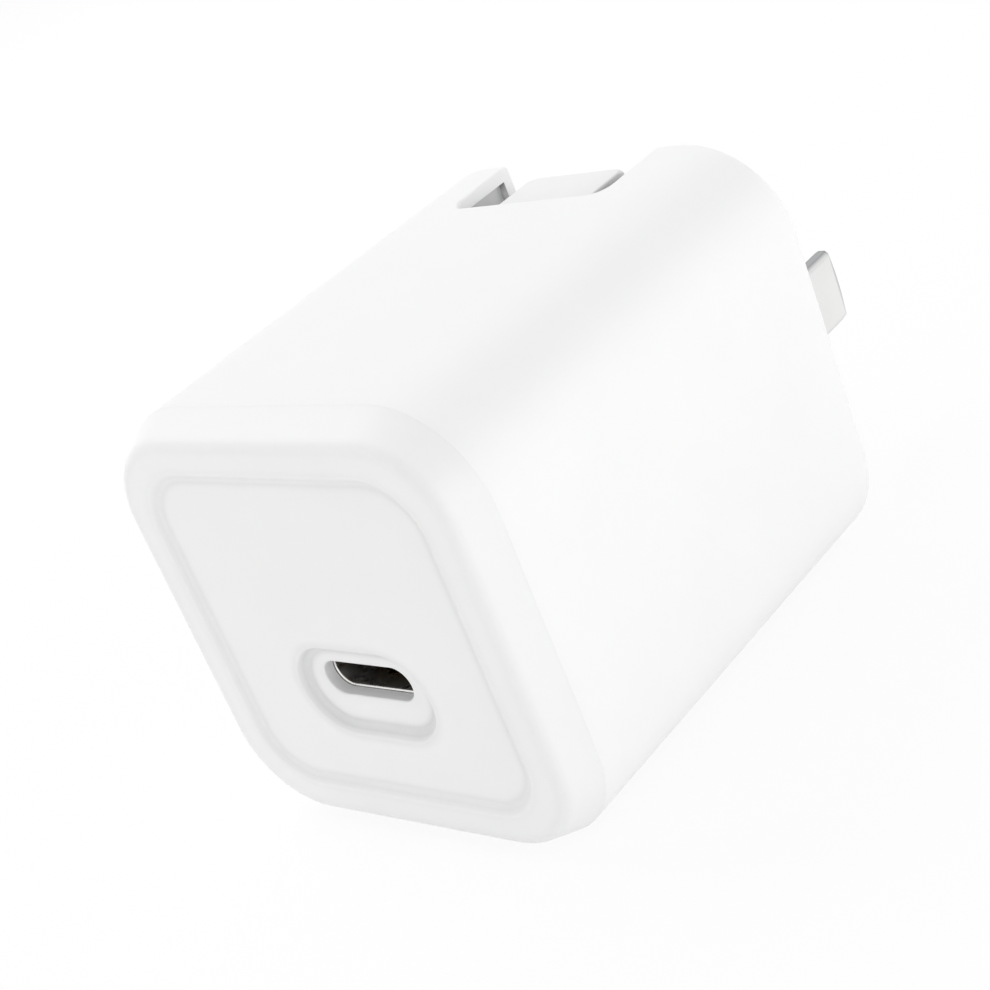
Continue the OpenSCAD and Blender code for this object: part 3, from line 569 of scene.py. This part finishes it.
def glass_filled_nylon():
    """Nylon with short glass fibres: a warmer white, dull, with a faint mottle from them."""
    material, shader, place = surface("glass_filled_nylon", IOR=1.53)
    grained(material, shader, place, "#f2f1ee", "#eceae6", 1.6, 0.12, 0.004, 0.55)
    return material


dress(carrier, glass_filled_nylon(), "plug", "carrier_white", "plug_carrier")


# ---- Blades ------------------------------------------------------------------
# Two flat contact blades, stamped from brass strip with their long edges chamfered and
# their tips rounded and thinned, then nickel plated. Their round roots turn against
# the contact springs inside.
blade_x, blade_t, blade_h = 6.35 * mm, 1.5 * mm, 6.35 * mm
blade_z = hinge_z + 1.1 * mm
blade_chamfer = 0.35 * mm
tip_y = rear_y + 18.2 * mm
tip_r, tip_bevel_l, tip_bevel = 11 * mm, 0.9 * mm, 0.35 * mm
root_r, eye_r = 2.9 * mm, 1.62 * mm
# the root's faces lie a hair inside the blade's
root_half_t = blade_t / 2 - 0.004 * mm
tip_steps = 8

rings = [(blade_t, blade_h, blade_chamfer, hinge_y, blade_z),
         (blade_t, blade_h, blade_chamfer, tip_y - tip_bevel_l, blade_z)]
# the end is an arc from the top edge to the bottom edge, and is thinned towards it
for step in range(tip_steps):
    height = blade_h * (1 - step / (tip_steps + 1))
    behind = tip_r - math.sqrt(tip_r ** 2 - (height / 2) ** 2)
    thinned = tip_bevel * (1 - behind / tip_bevel_l)
    rings.append((blade_t - 2 * thinned, height, blade_chamfer - thinned / 2, tip_y - behind,
                  blade_z))
blade = loft("blade_right_plated", rings, steps=1)
blade.data.transform(Matrix.Translation(across * blade_x))
combine(blade, cross_rod("root", blade_x - root_half_t, blade_x + root_half_t, root_r), "UNION")
combine(blade, cross_rod("eye", blade_x - blade_t, blade_x + blade_t, eye_r), "DIFFERENCE")
smooth(blade, 12)


def nickel_plate():
    """Bright nickel over rolled brass: mirror-like, with fine lines along the blade.

    The strip's rolling lines are a few hundredths of a millimetre apart, drawn here at 0.15 mm.
    The sheared edges and the thinned tip are painted greyer than the faces as shade, and greyer
    still along their raised edges.
    """
    material, shader, place = surface("nickel_plate", Metallic=1.0)
    along = add(material, "Mapping", {"Vector": place, "Scale": (1, 0.02, 1)})
    lines = add(material, "TexNoise", {"Vector": along.outputs["Vector"], "Scale": per_metre(0.15),
                                       "Detail": 2.0})
    cloud = add(material, "TexNoise", {"Vector": place, "Scale": per_metre(3), "Detail": 1.0})
    tint = add(material, "Mix", {"Factor": cloud.outputs["Fac"], "A": linear("#e9e9e8"),
                                 "B": linear("#f3f3f2")}, data_type="RGBA")
    rough = add(material, "MapRange", {"Value": lines.outputs["Fac"], "To Min": 0.16,
                                       "To Max": 0.3})
    bump = add(material, "Bump", {"Height": lines.outputs["Fac"], "Distance": 0.0008 * mm,
                                  "Strength": 1.0})
    # the two rolled faces are the places that lie half a thickness from the blade's middle; nearer
    # the middle, on the edges and the thinned tip, a grey is painted as shade
    split = add(material, "SeparateXYZ", {"Vector": place})
    side = add(material, "Math", {0: split.outputs["X"]}, operation="ABSOLUTE")
    off_middle = add(material, "Math", {0: side.outputs[0], 1: blade_x}, operation="SUBTRACT")
    depth = add(material, "Math", {0: off_middle.outputs[0]}, operation="ABSOLUTE")
    face = add(material, "MapRange", {"Value": depth.outputs[0],
                                      "From Min": blade_t / 2 - blade_chamfer,
                                      "From Max": blade_t / 2 - 0.02 * mm})
    plated = add(material, "Mix", {"Factor": face.outputs["Result"], "A": linear("#a2a4a5"),
                                   "B": tint.outputs["Result"]}, data_type="RGBA")
    tree = material.node_tree
    tree.links.new(plated.outputs["Result"], shader.inputs["Base Color"])
    tree.links.new(rough.outputs["Result"], shader.inputs["Roughness"])
    tree.links.new(bump.outputs["Normal"], shader.inputs["Normal"])
    # painted shade: the colour greys to 0.75 along the raised edges
    paint_shade(material, shader, 0.3, 0.75, only_local=True, inside=True)
    return material


nickel = nickel_plate()
only(blade)
bpy.ops.object.duplicate()
left_blade = bpy.context.object
left_blade.name = "blade_left_plated"
left_blade.data.transform(Matrix.Scale(-1, 4, across))
left_blade.data.flip_normals()
dress(blade, nickel, "plug", "blade_nickel", "blade_right")
dress(left_blade, nickel, "plug", "blade_nickel", "blade_left")


# ---- Port shell --------------------------------------------------------------
# The receptacle's shell: stainless strip rolled to a flat tube, nickel plated, with a
# thin bright rim that shows in the mouth. A black tongue stands inside it.
shell_w, shell_h, shell_t, shell_l = 8.94 * mm, 3.2 * mm, 0.3 * mm, 7.4 * mm
shell_y = cap_back_y + 0.05 * mm
shell_rear_y = shell_y + shell_l
rim_r, shell_bend_r = 0.14 * mm, 0.15 * mm
shell_line = softened([(shell_t, shell_rear_y - shell_t, 0), (shell_t, shell_y, rim_r),
                       (0, shell_y, rim_r), (0, shell_rear_y, shell_bend_r),
                       (1 * mm, shell_rear_y, 0)])
shell = loft("port_shell", [pill(shell_w, shell_h, port_z, *point) for point in shell_line[:-1]])
smooth(shell)


def metal(name, light, dark, smooth_rough, dull_rough, patch_mm):
    """A plain metal, two close tones in patches that are also a little smoother or duller."""
    material, shader, place = surface(name, Metallic=1.0)
    cloud = add(material, "TexNoise", {"Vector": place, "Scale": per_metre(patch_mm),
                                       "Detail": 3.0})
    tint = add(material, "Mix", {"Factor": cloud.outputs["Fac"], "A": linear(dark),
                                 "B": linear(light)}, data_type="RGBA")
    rough = add(material, "MapRange", {"Value": cloud.outputs["Fac"], "To Min": smooth_rough,
                                       "To Max": dull_rough})
    material.node_tree.links.new(tint.outputs["Result"], shader.inputs["Base Color"])
    material.node_tree.links.new(rough.outputs["Result"], shader.inputs["Roughness"])
    return material


# the plated strip is bright, a little blurred by rolling and darker where it is worn
plated_strip = metal("plated_strip", "#f4f3f1", "#e2e1df", 0.2, 0.36, 1.2)
dress(shell, plated_strip, "charger_body", "shell_steel", "usb_shell")


# ---- Port tongue and contacts ------------------------------------------------
# The tongue is moulded of black liquid crystal polymer round its contacts, which lie
# in two rows, plated with gold where the cable's plug wipes them.
tongue_half_w, tongue_half_t, tongue_edge_r = 3.35 * mm, 0.35 * mm, 0.15 * mm
tongue_y = shell_y + 1 * mm
base_l, base_half_w, base_half_h = 2 * mm, 3.37 * mm, 1.2 * mm
contact_pitch, contact_w, contact_l, contact_t = 0.5 * mm, 0.25 * mm, 3.4 * mm, 0.05 * mm
contact_y, contact_edge_r = tongue_y + 0.6 * mm, 0.02 * mm
contact_count = 12
tongue_rear_y = shell_rear_y - shell_t

tongue = block("port_tongue", (-tongue_half_w, tongue_y, port_z - tongue_half_t),
               (tongue_half_w, tongue_rear_y, port_z + tongue_half_t))
soften_edges(tongue, tongue_edge_r, lambda middle, along, angle:
             middle.y < tongue_y + tongue_edge_r)
base = block("base", (-base_half_w, tongue_rear_y - base_l, port_z - base_half_h),
             (base_half_w, tongue_rear_y, port_z + base_half_h))
combine(tongue, base, "UNION")
smooth(tongue)


def black_polymer(name, light, dark, rough):
    """A moulded black resin with a faint mottle from its filler."""
    material, shader, place = surface(name, IOR=1.55)
    grained(material, shader, place, light, dark, 0.8, 0.1, 0.003, rough)
    return material


dress(tongue, black_polymer("liquid_crystal_polymer", "#17171a", "#0d0d0f", 0.45),
      "charger_body", "tongue_black", "usb_tongue")


def repeat(piece, places):
    """Copies a piece to each place, away from its own, and joins the copies to it."""
    only(piece)
    copies = [piece]
    for place in places:
        copy = piece.copy()
        copy.data = piece.data.copy()
        copy.data.transform(Matrix.Translation(place))
        bpy.context.collection.objects.link(copy)
        copies.append(copy)
    for copy in copies:
        copy.select_set(True)
    bpy.ops.object.join()


first_x = -(contact_count - 1) / 2 * contact_pitch
contact_z = port_z + tongue_half_t
contacts = block("port_contacts", (first_x - contact_w / 2, contact_y, contact_z),
                 (first_x + contact_w / 2, contact_y + contact_l, contact_z + contact_t))
soften_edges(contacts, contact_edge_r, lambda middle, along, angle:
             middle.z > contact_z and angle > 40, segments=2)
# the lower row lies on the tongue's other face
lower = -2 * tongue_half_t - contact_t
repeat(contacts, [(column * contact_pitch, 0, row * lower) for row in (0, 1)
                  for column in range(contact_count) if row or column])
smooth(contacts)

gold_plate = metal("gold_plate", "#f2cf73", "#dcb055", 0.2, 0.34, 0.6)
dress(contacts, gold_plate, "charger_body", "contact_gold", "usb_contacts")


# ---- Hinge pin and screws ----------------------------------------------------
# A ground steel pin is pressed through the cradle's walls, and two zinc-plated screws
# with crossed recesses hold the cradle. All of them are bought in.
def finish_node(name, material):
    """Gives a CAD node that keeps its shape its material."""
    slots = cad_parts[name].data.materials
    slots.clear()
    slots.append(material)


finish_node("hinge_pin", metal("ground_steel", "#c9c9cb", "#b2b2b6", 0.18, 0.3, 0.5))
finish_node("cradle_screws", metal("zinc_plate", "#cfd2d6", "#b3b8bf", 0.3, 0.45, 0.4))


# ---- Springs and leads -------------------------------------------------------
# Each blade meets a leaf of beryllium copper under its root. A wire in silicone rubber
# runs from the leaf's tab down to the main board: brown for live and blue for neutral.
spring_alloy = metal("beryllium_copper", "#d9a066", "#bb8049", 0.25, 0.42, 0.8)
finish_node("contact_spring_left", spring_alloy)
finish_node("contact_spring_right", spring_alloy)


def resin(name, light, dark, rough, patch_mm, grain_mm=0.1, depth_mm=0.004):
    """A plastic, ceramic or rubber of two close tones with a fine grain."""
    material, shader, place = surface(name, IOR=1.5)
    grained(material, shader, place, light, dark, patch_mm, grain_mm, depth_mm, rough)
    return material


finish_node("live_lead", resin("silicone_rubber_brown", "#6a3a22", "#552d1a", 0.5, 1.5))
finish_node("neutral_lead", resin("silicone_rubber_blue", "#2f6bc0", "#2559a6", 0.5, 1.5))


# ---- Circuit boards ----------------------------------------------------------
# Two boards of glass cloth and epoxy under green solder lacquer, joined by a row of
# gold-plated pins. Copper areas under the lacquer show as lighter green.
def lacquered_board():
    """Green lacquer over copper areas a few millimetres wide, with a fine glass weave under it."""
    material, shader, place = surface("lacquered_board", IOR=1.5, Roughness=0.3)
    areas = add(material, "TexBrick", {"Vector": place, "Color1": linear("#1d6b3c"),
                                       "Color2": linear("#175a32"), "Mortar": linear("#0f4024"),
                                       "Scale": per_metre(6), "Mortar Size": 0.02})
    weave = add(material, "TexChecker", {"Vector": place, "Scale": per_metre(0.4)})
    bump = add(material, "Bump", {"Height": weave.outputs["Fac"], "Distance": 0.003 * mm})
    material.node_tree.links.new(areas.outputs["Color"], shader.inputs["Base Color"])
    material.node_tree.links.new(bump.outputs["Normal"], shader.inputs["Normal"])
    return material


board_lacquer = lacquered_board()
finish_node("main_board", board_lacquer)
finish_node("usb_board", board_lacquer)
finish_node("board_link_pins", gold_plate)


# ---- Chips and small parts ---------------------------------------------------
# The packages are moulded of black epoxy filled with silica. The little capacitors are
# fired ceramic, and the resistors carry a black glaze.
epoxy = black_polymer("silica_filled_epoxy", "#26262a", "#1a1a1d", 0.6)
for name in ("pd_controller", "output_switch", "optocoupler", "sync_rectifier", "gan_switch",
             "bridge_rectifier"):
    finish_node(name, epoxy)
finish_node("chip_resistors", resin("black_glaze", "#202024", "#141416", 0.3, 0.5))
finish_node("ceramic_capacitors", resin("fired_ceramic", "#a98560", "#8f6d4b", 0.55, 0.4))
finish_node("fuse", resin("steatite_tube", "#e3d8bd", "#d3c7aa", 0.45, 1.0))
finish_node("thermistor", resin("green_epoxy_dip", "#2f6b45", "#25573a", 0.35, 1.2, 0.8, 0.03))
finish_node("varistor", resin("orange_epoxy_dip", "#d9691f", "#c25a17", 0.35, 1.2, 0.8, 0.03))
finish_node("y_capacitor", resin("blue_epoxy_dip", "#2a5fb0", "#214f96", 0.35, 1.2, 0.8, 0.03))
finish_node("x_capacitor", resin("yellow_polyester_box", "#e0b83a", "#d0a82f", 0.4, 2.5))


# ---- Capacitor cans ----------------------------------------------------------
# Drawn aluminium cans. The mains cans wear a shrunk sleeve with a pale stripe down the
# negative side, and the output cans are bare.
def shrunk_sleeve():
    """Dark PVC shrunk tight, with a pale stripe along the can on the side that faces up."""
    material, shader, place = surface("shrunk_sleeve", IOR=1.54, Roughness=0.28)
    height = add(material, "SeparateXYZ", {"Vector": place})
    ripple = add(material, "TexWave", {"Vector": place, "Scale": per_metre(3), "Distortion": 2.0})
    bump = add(material, "Bump", {"Height": ripple.outputs["Fac"], "Distance": 0.01 * mm})
    stripe_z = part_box("bulk_capacitors")[1].z - 0.5 * mm
    stripe = add(material, "Math", {0: height.outputs["Z"], 1: stripe_z}, operation="GREATER_THAN")
    tint = add(material, "Mix", {"Factor": stripe.outputs["Value"], "A": linear("#262b3a"),
                                 "B": linear("#b9bfca")}, data_type="RGBA")
    material.node_tree.links.new(tint.outputs["Result"], shader.inputs["Base Color"])
    material.node_tree.links.new(bump.outputs["Normal"], shader.inputs["Normal"])
    return material


finish_node("bulk_capacitors", shrunk_sleeve())
finish_node("output_capacitors", metal("drawn_aluminium", "#d9dcdf", "#c2c6ca", 0.24, 0.38, 1.5))


# ---- Choke and transformer ---------------------------------------------------
# Pressed and ground ferrite cores. The windings are enamelled copper wire, laid side by
# side on a phenolic bobbin and closed with a turn of yellow polyester tape.
ferrite = resin("ground_ferrite", "#3a3a3e", "#2c2c30", 0.5, 0.6, 0.15, 0.01)
for name in ("choke_core", "transformer_core_lower", "transformer_core_upper"):
    finish_node(name, ferrite)


def enamelled_wire(name, axis, wire_mm):
    """Copper wire under clear enamel, one turn beside the next along an axis."""
    material, shader, place = surface(name, Metallic=1.0, Roughness=0.32, Coat_Weight=0.6,
                                      Coat_Roughness=0.1)
    # the wave repeats every tenth of a unit at a scale of pi over five
    turns = add(material, "TexWave", {"Vector": place, "Scale": per_metre(wire_mm) * math.pi / 10},
                wave_type="BANDS", bands_direction=axis, wave_profile="SIN")
    # painted shade: the colour darkens into the grooves between turns, following the same wave as
    # the bump
    tint = add(material, "Mix", {"Factor": turns.outputs["Fac"], "A": linear("#6b3319"),
                                 "B": linear("#c9733c")}, data_type="RGBA")
    bump = add(material, "Bump", {"Height": turns.outputs["Fac"], "Distance": 0.1 * mm})
    material.node_tree.links.new(tint.outputs["Result"], shader.inputs["Base Color"])
    material.node_tree.links.new(bump.outputs["Normal"], shader.inputs["Normal"])
    return material


finish_node("choke_windings", enamelled_wire("enamelled_wire_choke", "Y", 0.7))
finish_node("transformer_winding", enamelled_wire("enamelled_wire_transformer", "Z", 0.35))
finish_node("transformer_bobbin", black_polymer("phenolic_bobbin", "#2a2724", "#1d1b19", 0.5))
finish_node("transformer_tape", resin("polyester_tape", "#e9c93f", "#dcb92f", 0.25, 2.0))


# ---- Barrier and heat spreader -----------------------------------------------
# A sheet of polycarbonate film stands between the mains side and the output side, and
# a sheet of rolled aluminium under the casing's top spreads the heat.
def polycarbonate_film():
    """Clear film with a milky haze and a faint crease."""
    material, shader, place = surface("polycarbonate_film", IOR=1.58, Transmission_Weight=0.5)
    grained(material, shader, place, "#f0f0ea", "#e2e2da", 5, 0.5, 0.01, 0.3)
    return material


finish_node("insulation_barrier", polycarbonate_film())
finish_node("heat_spreader", metal("rolled_aluminium", "#dadcde", "#c8cacd", 0.28, 0.42, 2.5))


# ---- Floor and light ---------------------------------------------------------
# A wide white floor keeps the charger's soft shadow, under a bright even sky. Large
# soft boxes stand low at the right and high at the left, so that the round edge between
# the top and the right side is a little darker than both.
floor_size = 4
white_share = 0.9
sky_level = 0.5
box_size = 0.4
boxes = (("right_box", (0.6, -0.1, 0.1), 2.6),
         ("rear_right_box", (0.5, 0.4, 0.15), 1.7),
         ("front_left_box", (-0.25, -0.55, 0.25), 1.5),
         ("left_box", (-0.4, 0, 0.5), 2.9),
         ("rear_left_box", (-0.25, 0.35, 0.4), 1.0))


def shows_white(tree):
    """Whether a ray comes from the camera, or from it by way of metal or glass: 1 if so."""
    path = add(tree, "LightPath", {})
    first = add(tree, "Math", {0: path.outputs["Is Camera Ray"], 1: path.outputs["Is Glossy Ray"]},
                operation="MAXIMUM")
    return add(tree, "Math", {0: first.outputs[0], 1: path.outputs["Is Transmission Ray"]},
               operation="MAXIMUM").outputs[0]


bpy.ops.object.select_all(action="DESELECT")
bpy.ops.mesh.primitive_plane_add(size=floor_size)
floor = bpy.context.object
floor.name = "studio_floor"
paper, shader, place = surface("matt_white_paper", Roughness=0.9, Specular_IOR_Level=0.1)
fibre = add(paper, "TexNoise", {"Vector": place, "Scale": per_metre(2), "Detail": 3.0})
tint = add(paper, "Mix", {"Factor": fibre.outputs["Fac"], "A": linear("#fbfbfb"),
                          "B": linear("#fdfdfd")}, data_type="RGBA")
glow = add(paper, "Emission", {"Strength": 1.0})
share = add(paper, "Math", {0: shows_white(paper), 1: white_share}, operation="MULTIPLY")
both = add(paper, "MixShader", {0: share.outputs[0], 1: shader.outputs[0], 2: glow.outputs[0]})
paper.node_tree.links.new(tint.outputs["Result"], shader.inputs["Base Color"])
outlet = paper.node_tree.nodes["Material Output"]
paper.node_tree.links.new(both.outputs[0], outlet.inputs["Surface"])
floor.data.materials.append(paper)
floor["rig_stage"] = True

world = bpy.data.worlds.new("studio")
bpy.context.scene.world = world
world.use_nodes = True
level = add(world, "MapRange", {"Value": shows_white(world), "To Min": sky_level, "To Max": 1.0})
sky = world.node_tree.nodes["Background"]
sky.inputs["Color"].default_value = linear("#ffffff")
world.node_tree.links.new(level.outputs["Result"], sky.inputs["Strength"])

for name, place, brightness in boxes:
    bpy.ops.object.light_add(type="AREA", location=place)
    lamp = bpy.context.object
    lamp.name = name
    lamp.data.shape = "SQUARE"
    lamp.data.size = box_size
    lamp.data.energy = brightness * math.pi * box_size ** 2
    lamp.visible_glossy = False
    lamp.rotation_mode = "QUATERNION"
    lamp.rotation_quaternion = (Vector(place) - Vector((0, 0, mid_z))).to_track_quat("Z", "Y")

bpy.context.scene.view_settings.view_transform = "Standard"


# ---- Size --------------------------------------------------------------------
# The dressed model's box. The solids' box was taken on import.
low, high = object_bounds()
